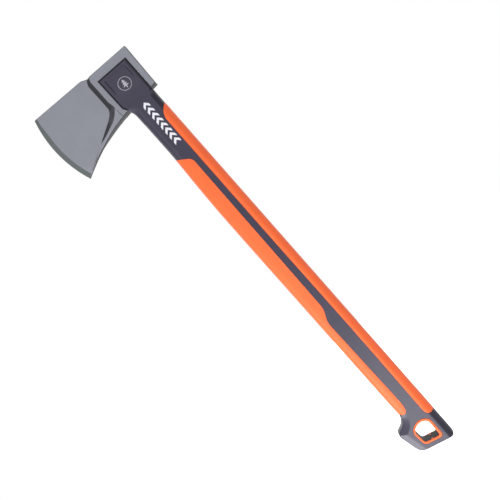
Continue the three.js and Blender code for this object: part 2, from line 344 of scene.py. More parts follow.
def head_heights(points, outline):
    """Half thickness of the head at side-plane points."""
    x, z = points[:, 0], points[:, 1]
    blade = blade_half(x)

    # The hub's cheek is flat as far as its crease, where a small lip drops to the rib.
    crease = hub_crease((CREASE_LOW, -70.5), (CREASE_HIGH, 0))
    past = x - np.interp(z, crease[:, 1], crease[:, 0])
    lip = smoothstep(past, -1.0, 0)
    hub = HUB_HALF * lip + rib_half(x, z) * (1 - lip)

    # A steep ramp climbs from the blade to the hub and the rib. Its foot runs down beside the hub,
    # then turns along the rib and dies out at the beard. It is steepest at the head's top.
    foot = joined(
        line((-37.5, 12), (-37.9, 1.6)),
        curve((-37.9, 1.6), (-42, -3), (-43.8, -9), count=12),
        line((-43.8, -9), (-43.5, -47)),
        curve((-43.5, -47), (-43.5, -52.5), (-48.5, -57), (-55.5, -61.6), count=24),
        line((-55.5, -61.6), (-140, -110.5)),
    )
    blade_side = inside(points, joined(foot, [(-200, -110), (-200, 50), (-37.5, 50)]))
    away = np.where(blade_side, 0, distance(points, foot))
    climb = np.where(away < RAMP_FILLET, away ** 2 / (2 * RAMP_FILLET), away - RAMP_FILLET / 2)
    steepness = (0.84 - 0.3 * smoothstep(-z, 42, 56) + 0.1 * smoothstep(-x, 48, 62)
                 + 0.4 * smoothstep(z, -12, 0))
    height = smooth_min(np.maximum(hub, blade), blade + steepness * climb, 0.25)

    centre = edge_centre()
    radius = np.linalg.norm(points - centre, axis=1)
    width = EDGE_RADIUS - bevel_radius(points)
    shoulder = blade_half(centre[0] - EDGE_RADIUS + width)
    grind = EDGE_HALF + (shoulder - EDGE_HALF) * (EDGE_RADIUS - radius) / width
    height = smooth_min(height, grind, 0.12)

    # Rounded arrises along the outline, smaller where the head is thin.
    arris = np.minimum(HEAD_ARRIS, 0.35 * height)
    inward = np.clip(1 - distance(points, outline) / arris, 0, 1)
    return height - arris * (1 - np.sqrt(np.clip(1 - inward ** 2, 0, 1)))


def make_head():
    """The forging, with its socket, its windows and the seats of the pads."""
    centre = edge_centre()
    beard = joined(
        curve(HEEL, (-105, -91.5), (-70, -75), HUB_BOTTOM_FRONT, count=64),
        line(HUB_BOTTOM_FRONT, HUB_BOTTOM_REAR),
    )
    top = joined(
        line(TOE, (-48, 4.65)),
        curve((-48, 4.65), (-46.6, 4.6), (-45.3, 4.1), count=6),
        curve((-45.3, 4.1), (-40, 1.2), (-35.6, 0), count=10),
        line((-35.6, 0), (POLL_TOP, 0)),
    )
    beard, top = [walk(edge, np.linspace(0, 1, 3000)) for edge in (beard, top)]

    def past_bevel(points):
        return int(np.argmax(np.linalg.norm(points - centre, axis=1) < bevel_radius(points)))

    def past_crease(points, crease):
        return int(np.argmax(points[:, 0] > crease))

    def swept(start, end):
        """The edge's circle between two places, seen from its centre."""
        angles = [math.degrees(math.atan2(z, x)) % 360 for x, z in (start - centre, end - centre)]
        return arc(centre, (EDGE_RADIUS, EDGE_RADIUS), *angles, 400)

    shoulder = swept(beard[past_bevel(beard)], top[past_bevel(top)])
    shoulder = centre + (shoulder - centre) * (bevel_radius(shoulder) / EDGE_RADIUS)[:, None]
    crease_low = past_crease(beard, CREASE_LOW)
    crease_high = past_crease(top, CREASE_HIGH)
    crease = hub_crease(beard[crease_low], top[crease_high])
    uprights = [swept(HEEL, TOE), shoulder, crease, line(HUB_BOTTOM_REAR, (POLL_TOP, 0))]
    rows = clustered(90, FINE, FINE, 0.64)
    uprights = [walk(points, rows) for points in uprights]
    lows = [0, past_bevel(beard), crease_low, len(beard) - 1]
    highs = [0, past_bevel(top), crease_high, len(top) - 1]
    columns = [clustered(7, FINE, FINE[:4], 0.5), clustered(94, FINE[:4], FINE[::2], 0.6),
               clustered(65, FINE[::2], FINE, 0.8)]
    patches = []
    for k, shares in enumerate(columns):
        low = walk(beard[lows[k]:lows[k + 1] + 1], shares)
        high = walk(top[highs[k]:highs[k + 1] + 1], shares)
        patches.append(coons(uprights[k], uprights[k + 1], low, high)[:, min(k, 1):])
    grid = np.concatenate(patches, axis=1)
    outline = joined(grid[0], grid[:, -1], grid[-1, ::-1])
    half = head_heights(grid.reshape(-1, 2), outline).reshape(grid.shape[:2])
    forging = slab_from_grid("axe_head_forging", grid, half)
    recess = pad_outline(PAD_GROOVE)
    return boolean(
        forging, "DIFFERENCE", tongue("socket", 0), plug("windows", 0),
        prism("near_recess", recess, -FAR, SEAT_DEPTH - HUB_HALF),
        prism("far_recess", recess, HUB_HALF - SEAT_DEPTH, FAR),
    )


def tongue(name, grow):
    """The handle's tongue, or the head's socket: a block open to below."""
    low = (SOCKET_LOW[0] - grow, -SOCKET_HALF - grow, SOCKET_LOW[1])
    high = (SOCKET_HIGH[0] + grow, SOCKET_HALF + grow, SOCKET_HIGH[1] + grow)
    return box(name, low, high)


def plug(name, grow):
    """What fills both cheek windows, or the windows themselves."""
    low = (WINDOW_LOW[0] - grow, -HUB_HALF - PLUG_PROUD, WINDOW_LOW[1] - grow)
    high = (WINDOW_HIGH[0] + grow, HUB_HALF + PLUG_PROUD, WINDOW_HIGH[1] + grow)
    return box(name, low, high)


# ---- the handle's body ---------------------------------------------------------------------
def end_height(x):
    """Height of the pommel's sloping end."""
    return POMMEL_BOTTOM + END_SLOPE * (HANDLE_REAR - x)


def smoothed(knots, rounds=3):
    """Corner-cut knots: straight runs stay, corners turn into curves."""
    points = np.array(knots, float)
    for _ in range(rounds):
        a, b = points[:-1], points[1:]
        cut = np.stack([0.75 * a + 0.25 * b, 0.25 * a + 0.75 * b], 1).reshape(-1, 2)
        points = np.concatenate([points[:1], cut, points[-1:]])
    return points


# Half thickness against depth inside an edge, as (depth, half thickness).
PAD_EDGE = smoothed([(0, 11.6), (0.12, 12.3), (1.9, 13.9), (2.4, 14), (5, 14)])
PAD_REAR = smoothed([(0, 11.6), (0.12, 12.1), (4.3, 13.7), (6.5, 14), (12, 14)])
SHAFT_FRONT = smoothed([(0, 4.5), (0.7, 7.4), (2.3, 10.3), (5, 12.8), (8, 14), (12, 14)])
SHAFT_REAR = smoothed([
    (0, 3.4), (0.1, 4.3), (0.7, 5.8), (2, 8.2), (4, 10.5), (8.2, 13.6), (10, 14), (14, 14),
])
HOOK_FRONT = smoothed([(0, 7.6), (0.3, 9.0), (1.0, 9.9), (8.2, 13.6), (9.6, 14), (15, 14)])


def profile(depth, knots):
    return np.interp(depth, knots[:, 0], knots[:, 1])


SHAFT_LINE = through(  # the handle's front edge, from the hook's root up to the collar
    (-20.5, -622), (-21.1, -592), (-21.8, -444), (-22.6, -275), (-21.6, -210),
    (-20, -160), (-20.1, -104), (COLLAR_FRONT, COLLAR_BOTTOM),
)
COLLAR_LINE = joined(  # from the collar up to the pad's top
    curve((COLLAR_FRONT, COLLAR_BOTTOM), (COLLAR_FRONT, -77), (-23.2, -71.3), count=14),
    line((-23.2, -71.3), (PAD_FRONT + 0.9, -62.8)),
    line((PAD_FRONT + 0.9, -62.8), (PAD_FRONT, PAD_TOP)),
)


def pad_outline(grow):
    """The pad's side outline, grown outward over the steel."""
    front, rear, top = PAD_FRONT - grow, HANDLE_REAR + grow, PAD_TOP + grow
    return joined(
        COLLAR_LINE[:-1] - (grow, 0),
        curve((front, top - 1), (front, top), (front + 1, top), count=8),
        curve((rear - 1, top), (rear, top), (rear, top - 1), count=8),
        [(rear, COLLAR_BOTTOM)],
    )


HOOK_TIP = (-40.8, -643.4)
HOOK_ROOT = curve((-31, -639), (-21.5, -634.7), (-20.5, -622), count=32)
HOOK_LINE = joined(  # the hook's sharp edges, from below the pommel up to the shaft
    line((-28.2, -696), HOOK_TIP),
    line(HOOK_TIP, HOOK_ROOT[0]),
    HOOK_ROOT,
)


def body_heights(points):
    """Half thickness of the handle's body at side-plane points."""
    x, z = points[:, 0], points[:, 1]
    to_shaft = distance(points, joined(SHAFT_LINE, COLLAR_LINE))
    to_hook = distance(points, HOOK_LINE)
    at_pad = smoothstep(z, COLLAR_BOTTOM, COLLAR_TOP)
    front = profile(to_shaft, SHAFT_FRONT) * (1 - at_pad) + profile(to_shaft, PAD_EDGE) * at_pad
    at_hook = smoothstep(-z, 608, 630)
    front = front * (1 - at_hook) + profile(to_hook, HOOK_FRONT) * at_hook
    to_rear = HANDLE_REAR - x
    at_pad = smoothstep(z, -78, COLLAR_TOP)
    rear = profile(to_rear, SHAFT_REAR) * (1 - at_pad) + profile(to_rear, PAD_REAR) * at_pad
    top = profile(PAD_TOP - z, PAD_EDGE)
    height = np.minimum(np.minimum(front, rear), top)

    # A shallow panel on the pad, deepest at its top, that runs out flush below.
    across = smoothstep(x, -22.0, -20.8) * (1 - smoothstep(x, 12.2, 14.4))
    up = smoothstep(z, -56, -34) * (1 - smoothstep(z, -20.5, -18))
    height = height - PANEL_DEPTH * across * up

    # Rounded arris at the pommel's end.
    end = np.maximum(z - end_height(x), 0) / math.hypot(1, END_SLOPE)
    inward = np.clip(1 - end / END_ARRIS, 0, 1)
    return height - END_ARRIS * (1 - np.sqrt(np.clip(1 - inward ** 2, 0, 1)))


def body_edges():
    """The body's front and rear edges, both from the pommel's end up to the pad's top."""
    lower = joined(
        curve((-23, end_height(-23)), (-31.3, end_height(-31.3)), (-33.4, -672), count=24),
        line((-33.4, -672), (-39.2, -649.5), 40),
        curve((-39.2, -649.5), (-40.3, -645.3), (-37.6, -641.95), count=14),
        line((-37.6, -641.95), HOOK_ROOT[0], 12),
        HOOK_ROOT,
    )
    shaft = walk(SHAFT_LINE, np.linspace(0, 1, 150))
    collar = walk(COLLAR_LINE, np.linspace(0, 1, 90))
    pad_end = np.array(FINE[::-1])[:, None] * np.array([0, -1]) + (PAD_FRONT, PAD_TOP)
    front = joined(lower, shaft, collar[collar[:, 1] < pad_end[0, 1] - 0.3], pad_end)
    corner = curve(
        (12, end_height(12)), (HANDLE_REAR, end_height(HANDLE_REAR)),
        (HANDLE_REAR, POMMEL_BOTTOM + 9), count=24,
    )
    rear = joined(corner, line(corner[-1], (HANDLE_REAR, PAD_TOP)))
    level = -640.0  # above this height, rows run level
    total = lengths(rear)[-1]
    share = np.interp(
        front[:, 1], [front[0, 1], level, PAD_TOP], [0, 1 - (PAD_TOP - level) / total, 1],
    )
    return front, walk(rear, share)


# Depths inside the front and rear edges where the handle's grids have a column
EDGE_COLUMNS = [0, 0.15, 0.4, 0.75, 1.2, 1.8, 2.5, 3.3, 4.2, 5.2]
BODY_COLUMNS = [*EDGE_COLUMNS, 6.0, 6.4, 6.8, 7.2, 7.6, 8.0, 8.8, 9.6, 10.6, 12]
SHAFT_COLUMNS = [*EDGE_COLUMNS, 6.2, 7.2, 8.2, 9.2, 10.4, 12]


def make_body():
    """The nylon moulding, with the seats of the soft pieces and of the core rod."""
    front, rear = body_edges()
    depth = 44  # roughly, from front to rear
    columns = clustered(depth, BODY_COLUMNS, BODY_COLUMNS, 1.6)
    bottom = walk(line(front[0], rear[0]), columns)
    top = walk(line(front[-1], rear[-1]), columns)
    grid = coons(front, rear, bottom, top)
    half = body_heights(grid.reshape(-1, 2)).reshape(grid.shape[:2])
    body = slab_from_grid("handle_moulding", grid, half)

    # Above the underside of the head only the pads, the tongue and the plugs are left.
    slope = (HUB_BOTTOM_REAR - HUB_BOTTOM_FRONT)[1] / (HUB_BOTTOM_REAR - HUB_BOTTOM_FRONT)[0]
    underside = [(x, HUB_BOTTOM_FRONT[1] + slope * (x - HUB_BOTTOM_FRONT[0]) - GAP)
                 for x in (-60, 60)]
    seat = HUB_HALF - SEAT_DEPTH + GAP
    steel = prism("steel", [*underside, (60, 40), (-60, 40)], -seat, seat)
    boolean(body, "DIFFERENCE", steel)
    boolean(body, "UNION", tongue("tongue", -GAP), plug("plugs", -GAP))
    above_skin = 2
    for outline in (front_strip_outline(GAP), rear_strip_outline(GAP)):
        boolean(body, "DIFFERENCE", strip_shell(outline, above_skin, -STRIP_THICKNESS - GAP))
    rim_seat = hole_outline(RING_WIDTH + GAP)
    seat_half = HANDLE_HALF - RING_DEPTH - GAP
    boolean(
        body, "DIFFERENCE",
        *vein(GAP),
        prism("hole", hole_outline(0), -FAR, FAR),
        prism("near_rim_seat", rim_seat, -FAR, -seat_half),
        prism("far_rim_seat", rim_seat, seat_half, FAR),
        box("core_space", CORE_LOW - GAP, (CORE_HIGH[0] + GAP, CORE_HIGH[1] + GAP, 0)),
    )
    return body


# ---- soft strips and the hole's ring -------------------------------------------------------
def front_strip_outline(grow):
    """The front strip's border across the handle's side, grown outward, from top to bottom."""
    return joined(
        [(-60, -138.5 + grow)],
        line((-19.1, -163.7 + grow), (-5.5, -173.2 + grow)),
        curve((-5.5, -173.2 + grow), (-1.3 + grow, -176.2 + grow), (-1.2 + grow, -182), count=12),
        line((-1.2 + grow, -182), (-2.3 + grow, -440)),
        curve((-2.3 + grow, -440), (-2.7 + grow, -453), (-10.1 + grow, -456),
              (-10.5 + grow, -469), count=24),
        line((-10.5 + grow, -469), (-7.8 + grow, -608)),
        curve((-7.8 + grow, -608), (-7.8 + grow, -625.6 - grow), (-13.9, -625.4 - grow), count=20),
        curve((-13.9, -625.4 - grow), (-17.5, -625.4 - grow), (-21, -623 - grow), count=8),
        [(-60, -623 - grow)],
    )


def rear_strip_outline(grow):
    """The rear strip's border across the handle's side, grown outward."""
    return joined(
        [(60, -647 - grow), (60, -93 + grow)],
        curve((20.6, -93 + grow), (9.9 - grow, -102 + grow), (7.6 - grow, -112), count=20),
        through((7.6 - grow, -112), (7.8 - grow, -330), (8.6 - grow, -495), (7.9 - grow, -637)),
        curve((7.9 - grow, -637), (8.2 - grow, -647 - grow), (17.3, -647.2 - grow), count=20),
    )


def shaft_form(name, grow):
    """The handle's plain shaft as a closed solid, with its whole skin moved outward."""
    levels = np.linspace(-655, -70, 196)  # past both ends of the strips
    order = np.argsort(SHAFT_LINE[:, 1])
    edge = np.interp(levels, SHAFT_LINE[order, 1], SHAFT_LINE[order, 0])
    front = np.stack([edge - grow, levels], 1)
    rear = np.stack([np.full_like(levels, HANDLE_REAR + grow), levels], 1)
    depth = 43  # roughly, from front to rear
    columns = clustered(depth, SHAFT_COLUMNS, SHAFT_COLUMNS, 3)
    grid = coons(front, rear, walk(line(front[0], rear[0]), columns),
                 walk(line(front[-1], rear[-1]), columns))
    inset = np.minimum(
        profile(grid[..., 0] - front[:, None, 0], SHAFT_FRONT),
        profile(rear[:, None, 0] - grid[..., 0], SHAFT_REAR),
    )
    return slab_from_grid(name, grid, inset + grow)


def strip_shell(outline, outer, inner):
    """The handle's skin inside an outline, between two offsets from its surface."""
    shell = shaft_form("strip", outer)
    boolean(shell, "INTERSECT", prism("strip_outline", outline, -FAR, FAR))
    return boolean(shell, "DIFFERENCE", shaft_form("under_strip", inner))


def hole_outline(grow):
    """The hanging hole grown outward: an arch above and a sloping seat below."""
    half, arch_z, arch_height, seat_z = 11.8, -656.7, 9.0, -675.5
    middle = HOLE_X - BORE_OFFSET * max(0, 1 - grow / RING_WIDTH)
    left, right = middle - half - grow, middle + half + grow

    def seat(x):
        return seat_z - grow - END_SLOPE * (x - HOLE_X)

    bend = 4 + grow
    return joined(
        arc((middle, arch_z), (half + grow, arch_height + grow), 0, 180, 40)[:-1],
        line((left, arch_z), (left + 1, seat(left) + bend), 8)[:-1],
        curve((left + 1, seat(left) + bend), (left + 1.2, seat(left)),
              (left + bend, seat(left + bend)), count=12)[:-1],
        line((left + bend, seat(left + bend)), (right - bend, seat(right - bend)), 10)[:-1],
        curve((right - bend, seat(right - bend)), (right, seat(right)),
              (right, seat(right) + bend), count=12)[:-1],
        line((right, seat(right) + bend), (right, arch_z), 8)[:-1],
    )


def vein(grow):
    """The bar that joins the two rims. It runs under the hole's seat and shows near its ends."""
    half = VEIN_HALF + grow
    bottom, buried, shown = -679 - grow, -677.3 + grow, -675.0 + 3 * grow
    reach = HANDLE_HALF - 1
    spans = [(-reach, reach, buried), (-reach, 3.5 - reach, shown), (4, reach, shown)]
    return [
        box("vein", (HOLE_X - half, y0 - grow, bottom), (HOLE_X + half, y1 + grow, top))
        for y0, y1, top in spans
    ]


def rim(name, side):
    """One soft rim: a rounded section swept round the hole."""
    crown = HANDLE_HALF + RING_PROUD
    base = HANDLE_HALF - RING_DEPTH
    # The section's corners, as (distance from the hole, height).
    section = [(0, base), (0, crown - 0.6), (0.2, crown - 0.2), (0.7, crown),
               (RING_WIDTH - 0.7, crown), (RING_WIDTH - 0.2, crown - 0.2),
               (RING_WIDTH, crown - 0.6), (RING_WIDTH, base)]
    loops = [hole_outline(out) for out, _ in section]
    count = len(loops[0])
    vertices = [
        (x, side * y, z) for loop, (_, y) in zip(loops, section) for x, z in loop
    ]
    faces = []
    for k in range(len(section)):
        here, there = k * count, (k + 1) % len(section) * count
        for i in range(count):
            j = (i + 1) % count
            face = [here + i, here + j, there + j, there + i]
            faces.append(face if side > 0 else face[::-1])
    return make_object(name, vertices, faces)


def make_ring():
    """Both rims, and the bar that joins them, as one piece."""
    ring = rim("hanging_hole_ring", -1)
    return boolean(ring, "UNION", *vein(0), rim("far_rim", 1))


# ---- printed marks -------------------------------------------------------------------------
def chevrons():
    """Outlines of a column of chevrons that point up to the head."""
    front, rear, count = -5.5, 4.2, 8
    middle = (front + rear) / 2
    pitch, point, bar = 8.9, 5.2, 4.6
    shapes = []
    for k in range(count):
        top = -76 - pitch * k
        shapes.append([
            (front, top - point), (middle, top), (rear, top - point),
            (rear, top - point - bar), (middle, top - bar), (front, top - point - bar),
        ])
    return shapes


def conifer_badge():
    """Outlines of a conifer in a thin ring."""
    centre = np.array([-2.8, -39.5])
    outer, inner = 9.6, 8.9
    half_rings = [
        np.concatenate([
            arc(centre, (outer, outer), start, end, 25),
            arc(centre, (inner, inner), end, start, 25),
        ])
        for start, end in ((0, 180), (180, 360))
    ]
    trunk, tier_height, tier_rise = 0.7, 4.0, 3.2
    side = [(trunk, -6.6), (trunk, -3.6)]
    for tier, half_width in enumerate((4.8, 3.7, 2.6)):
        bottom = -3.6 + tier_rise * tier
        side += [(half_width, bottom), (half_width * (1 - tier_rise / tier_height), bottom + tier_rise)]
    side[-1] = (0, bottom + tier_height)
    conifer = side + [(-x, z) for x, z in side[-2::-1]]
    return [*half_rings, centre + conifer]


def make_marks():
    """Chevrons down the collar and a badge on the pad, printed on both sides in one thin layer."""
    above, below = 0.07, -0.15  # the ink's top and bottom, from the nylon's surface
    vertices, faces = [], []
    for side in (-1, 1):
        for shape in chevrons() + conifer_badge():
            outline = np.array(shape, float)
            if signed_area(outline) * side > 0:
                outline = outline[::-1]
            half = body_heights(outline)
            base, n = len(vertices), len(outline)
            for lift in (above, below):
                vertices += [(x, side * (h + lift), z) for (x, z), h in zip(outline, half)]
            faces.append([base + i for i in range(n)])
            faces.append([base + n + i for i in range(n)][::-1])
            faces += [[base + i, base + n + i, base + n + (i + 1) % n, base + (i + 1) % n]
                      for i in range(n)]
    return make_object("printed_marks", vertices, faces)


# ---- materials -----------------------------------------------------------------------------
BLACK = (0.0, 0.0, 0.0)


class Nodes:
    """A material's node tree, with one short call for each kind of node."""

    def __init__(self, name):
        self.material = bpy.data.materials.new(name)
        self.material.use_nodes = True
        self.tree = self.material.node_tree
        self.tree.nodes.clear()
        self.place = self.add("ShaderNodeTexCoord").outputs["Object"]

    def add(self, kind, **settings):
        node = self.tree.nodes.new(kind)
        for key, value in settings.items():
            setattr(node, key, value)
        return node

    def feed(self, socket, value):
        """Links an output to a socket, or sets the socket to a plain value."""
        if isinstance(value, bpy.types.NodeSocket):
            self.tree.links.new(value, socket)
        elif value is not None:
            socket.default_value = value

    def noise(self, scale, detail=2.0, roughness=0.5, place=None):
        node = self.add("ShaderNodeTexNoise")
        self.feed(node.inputs["Vector"], place or self.place)
        node.inputs["Scale"].default_value = scale
        node.inputs["Detail"].default_value = detail
        node.inputs["Roughness"].default_value = roughness
        return node.outputs["Fac"]

    def stretched(self, scale):
        """The place scaled by a different amount along each axis."""
        node = self.add("ShaderNodeMapping")
        self.feed(node.inputs["Vector"], self.place)
        node.inputs["Scale"].default_value = scale
        return node.outputs["Vector"]

    def cells(self, scale):
        node = self.add("ShaderNodeTexVoronoi")
        self.feed(node.inputs["Vector"], self.place)
        node.inputs["Scale"].default_value = scale
        return node.outputs["Distance"]

    def math(self, operation, a, b=None, c=None):
        node = self.add("ShaderNodeMath", operation=operation)
        for socket, value in zip(node.inputs, (a, b, c)):
            self.feed(socket, value)
        return node.outputs[0]

    def length(self, a, b):
        """The length of a step of a along one axis and b along another."""
        squares = self.math("ADD", self.math("MULTIPLY", a, a), self.math("MULTIPLY", b, b))
        return self.math("SQRT", squares)

    def split(self, vector):
        """A vector's parts, by the names X, Y and Z."""
        node = self.add("ShaderNodeSeparateXYZ")
        self.feed(node.inputs[0], vector)
        return node.outputs

    def ranged(self, value, low, high, to_low=0.0, to_high=1.0, smooth=False):
        """A value moved from one range to another, and held inside it."""
        node = self.add("ShaderNodeMapRange",
                        interpolation_type="SMOOTHSTEP" if smooth else "LINEAR")
        for socket, item in zip(node.inputs, (value, low, high, to_low, to_high)):
            self.feed(socket, item)
        return node.outputs[0]

    def mix(self, share, a, b):
        """Colour a with a share of colour b."""
        node = self.add("ShaderNodeMix", data_type="RGBA")
        self.feed(node.inputs["Factor"], share)
        self.feed(node.inputs["A"], a if not isinstance(a, tuple) else (*a, 1))
        self.feed(node.inputs["B"], b if not isinstance(b, tuple) else (*b, 1))
        return node.outputs["Result"]

    def bump(self, height, distance):
        node = self.add("ShaderNodeBump")
        node.inputs["Distance"].default_value = distance
        self.feed(node.inputs["Height"], height)
        return node.outputs["Normal"]

    def surface(self, **inputs):
        """Ends the tree with a surface that has the given inputs, and returns the material."""
        shader = self.add("ShaderNodeBsdfPrincipled")
        for key, value in inputs.items():
            if isinstance(value, tuple):
                value = (*value, 1)
            self.feed(shader.inputs[key.replace("_", " ")], value)
        output = self.add("ShaderNodeOutputMaterial")
        self.tree.links.new(shader.outputs[0], output.inputs[0])
        return self.material


def tinted(nodes, colour, amount, scale):
    """A base colour that wanders lighter and darker by a share of itself."""
    lighter = tuple(c * (1 + amount) for c in colour)
    darker = tuple(c * (1 - amount) for c in colour)
    return nodes.mix(nodes.ranged(nodes.noise(scale, 3), 0.3, 0.7), darker, lighter)


def edge_share(nodes):
    """How strongly a place lies on a convex arris, 0 to 1."""
    pointiness = nodes.add("ShaderNodeNewGeometry").outputs["Pointiness"]
    return nodes.ranged(pointiness, 0.505, 0.56)


def facing(nodes, axis):
    """The surface's direction along an axis, -1 to 1."""
    return nodes.split(nodes.add("ShaderNodeTexCoord").outputs["Normal"])[axis]


def slope_share(nodes, gentle, steep):
    """How strongly a place slopes away from the axe's side, and how nearly upright it stands."""
    side = nodes.math("ABSOLUTE", facing(nodes, "Y"))
    sloping = nodes.ranged(side, gentle, steep, smooth=True)
    upright = nodes.ranged(side, 0.66, 0.45, smooth=True)
    return sloping, upright


def coated_steel():
    """Grey powder coat with a faint orange peel, and a darker ground bevel at the edge."""
    nodes = Nodes("coated_steel")

    # The ground bevel is where the distance from the edge's centre is large, as in bevel_radius.
    centre = edge_centre() * MM
    place = nodes.split(nodes.place)
    dx = nodes.math("SUBTRACT", place["X"], float(centre[0]))
    dz = nodes.math("SUBTRACT", place["Z"], float(centre[1]))
    radius = nodes.length(dx, dz)
    edge_z = nodes.math("DIVIDE", nodes.math("MULTIPLY", dz, EDGE_RADIUS * MM), radius)
    edge_z = nodes.math("ADD", edge_z, float(centre[1]))
    low, high = GRIND_CHANGE
    narrower = nodes.ranged(edge_z, low * MM, high * MM, 0.0, (EDGE_GRIND - TOE_GRIND) * MM,
                            smooth=True)
    inner = nodes.math("ADD", narrower, (EDGE_RADIUS - EDGE_GRIND) * MM)
    ground = nodes.ranged(nodes.math("SUBTRACT", radius, inner), -0.1 * MM, 0.1 * MM)

    coat = tinted(nodes, (0.282, 0.292, 0.338), 0.035, 28)
    speck = nodes.ranged(nodes.noise(900, 4, 0.7), 0.3, 0.7)
    coat = nodes.mix(speck, coat, nodes.mix(0.06, coat, (0.6, 0.61, 0.63)))
    streak = nodes.noise(1.0, 2, 0.6, nodes.stretched((250, 250, 2600)))
    metal = nodes.mix(nodes.ranged(streak, 0.3, 0.7), (0.140, 0.158, 0.160), (0.170, 0.190, 0.192))

    # Painted shade: the ramp and the undersides are painted darker than the flats, standing in for the
    # shade they fall into.
    sloping, upright = slope_share(nodes, 0.965, 0.84)
    below = nodes.ranged(nodes.math("MULTIPLY", facing(nodes, "Z"), -1.0), 0.3, 0.8, smooth=True)
    painted_shade = nodes.math("SUBTRACT", sloping, nodes.math("MULTIPLY", upright, 0.6))
    painted_shade = nodes.math("MULTIPLY", nodes.math("MAXIMUM", painted_shade, below), 0.82)
    coat = nodes.mix(painted_shade, coat, BLACK)
    colour = nodes.mix(ground, coat, metal)
    # Painted highlight: convex arrises are painted a little lighter.
    colour = nodes.mix(nodes.math("MULTIPLY", edge_share(nodes), 0.12), colour, (0.42, 0.43, 0.46))
    peel = nodes.noise(700, 3)
    grain = nodes.mix(ground, peel, streak)
    rough = nodes.ranged(nodes.noise(160, 2), 0.3, 0.7, 0.44, 0.54)
    return nodes.surface(
        Base_Color=colour,
        Metallic=nodes.ranged(ground, 0.0, 1.0, 0.5, 0.7),
        Roughness=nodes.math("SUBTRACT", rough, nodes.math("MULTIPLY", ground, 0.08)),
        Normal=nodes.bump(grain, 0.00006),
    )


def dark_nylon():
    """Charcoal glass-filled nylon with a fine moulded grain."""
    nodes = Nodes("dark_nylon")
    colour = tinted(nodes, (0.046, 0.041, 0.069), 0.06, 35)
    grain = nodes.noise(1700, 3, 0.6)
    colour = nodes.mix(nodes.ranged(grain, 0.35, 0.75, 0, 0.35), colour, (0.061, 0.055, 0.087))
    # Painted highlight: convex arrises are painted lighter, standing in for the light caught along the
    # bevels' edges.
    colour = nodes.mix(nodes.math("MULTIPLY", edge_share(nodes), 0.3), colour, (0.08, 0.075, 0.10))

    # Painted shade: all bevels on the pads, and the rear bevels elsewhere, are painted darker than the
    # flats and given less gloss, standing in for the shade they fall into.
    place = nodes.split(nodes.place)
    on_pad = nodes.ranged(place["Z"], -72 * MM, -68 * MM)
    sloping, upright = slope_share(nodes, 0.985, 0.90)
    rearward = nodes.math("MULTIPLY_ADD", facing(nodes, "Z"), 0.6, facing(nodes, "X"))
    dark_side = nodes.math("MAXIMUM", nodes.ranged(rearward, 0.1, 0.4), on_pad)
    painted_shade = nodes.math("MULTIPLY", nodes.math("SUBTRACT", sloping, upright), dark_side)
    painted_shade = nodes.math("MULTIPLY", painted_shade, nodes.ranged(on_pad, 0.0, 1.0, 0.35, 0.8))
    colour = nodes.mix(painted_shade, colour, BLACK)

    # Painted shade: the hanging hole's inner walls are painted darker, with little gloss, standing in
    # for the shade inside the hole.
    across = nodes.math("SUBTRACT", place["X"], float(HOLE_X) * MM)
    along = nodes.math("SUBTRACT", place["Z"], HOLE_Z * MM)
    away = nodes.length(across, along)
    depth = nodes.math("ABSOLUTE", place["Y"])
    rim_seat = float(HANDLE_HALF - RING_DEPTH) * MM
    painted_bore_shade = nodes.math("MULTIPLY",
                      nodes.ranged(away, HOLE_REACH * MM, (HOLE_REACH + 1) * MM, 1.0, 0.0),
                      nodes.ranged(depth, rim_seat - 0.2 * MM, rim_seat, 1.0, 0.0))
    colour = nodes.mix(nodes.math("MULTIPLY", painted_bore_shade, 0.72), colour, BLACK)
    gloss = nodes.math("MULTIPLY", nodes.ranged(painted_shade, 0.0, 1.0, 0.5, 0.1),
                       nodes.ranged(painted_bore_shade, 0.0, 1.0, 1.0, 0.25))
    rough = nodes.ranged(nodes.noise(240, 2), 0.3, 0.7, 0.28, 0.33)
    pits = nodes.ranged(nodes.cells(1100), 0.0, 0.6)
    height = nodes.math("ADD", nodes.math("MULTIPLY", grain, 0.7), nodes.math("MULTIPLY", pits, 0.3))
    return nodes.surface(
        Base_Color=colour,
        Roughness=nodes.math("MULTIPLY_ADD", painted_bore_shade, 0.1, rough),
        Specular_IOR_Level=gloss,
        Normal=nodes.bump(height, 0.000025),
    )


def soft_rubber():
    """Matt orange soft-touch rubber with a faint velvet sheen."""
    nodes = Nodes("soft_rubber")
    colour = tinted(nodes, (0.98, 0.140, 0.026), 0.03, 22)
    grain = nodes.noise(1400, 3, 0.65)
    colour = nodes.mix(nodes.ranged(grain, 0.4, 0.8, 0, 0.18), colour, (0.95, 0.17, 0.05))
    return nodes.surface(
        Base_Color=colour,
        Roughness=nodes.ranged(nodes.noise(200, 2), 0.3, 0.7, 0.48, 0.58),
        Sheen_Weight=0.35,
        Sheen_Roughness=0.4,
        Sheen_Tint=(1.0, 0.75, 0.75),
        Normal=nodes.bump(grain, 0.00008),
    )


def white_print():
    """White pad-printing ink, slightly uneven, and greyer on the pads."""
    nodes = Nodes("white_print")
    on_pad = nodes.ranged(nodes.split(nodes.place)["Z"], -66 * MM, -64 * MM)
    colour = tinted(nodes, (0.78, 0.78, 0.84), 0.05, 300)
    colour = nodes.mix(on_pad, colour, (0.42, 0.41, 0.46))
    return nodes.surface(
        Base_Color=colour,
        Roughness=nodes.ranged(nodes.noise(900, 2), 0.3, 0.7, 0.45, 0.6),
        Normal=nodes.bump(nodes.noise(2200, 2), 0.00002),
    )


def glass_fibre():
    """Pultruded glass fibre: straw-coloured resin with long strands."""
    nodes = Nodes("glass_fibre")
    strands = nodes.noise(1.0, 3, 0.6, nodes.stretched((1500, 1500, 12)))
    colour = nodes.mix(nodes.ranged(strands, 0.3, 0.7), (0.50, 0.45, 0.28), (0.68, 0.64, 0.46))
    return nodes.surface(
        Base_Color=colour,
        Roughness=nodes.ranged(strands, 0.3, 0.7, 0.35, 0.55),
        Normal=nodes.bump(strands, 0.0001),
    )


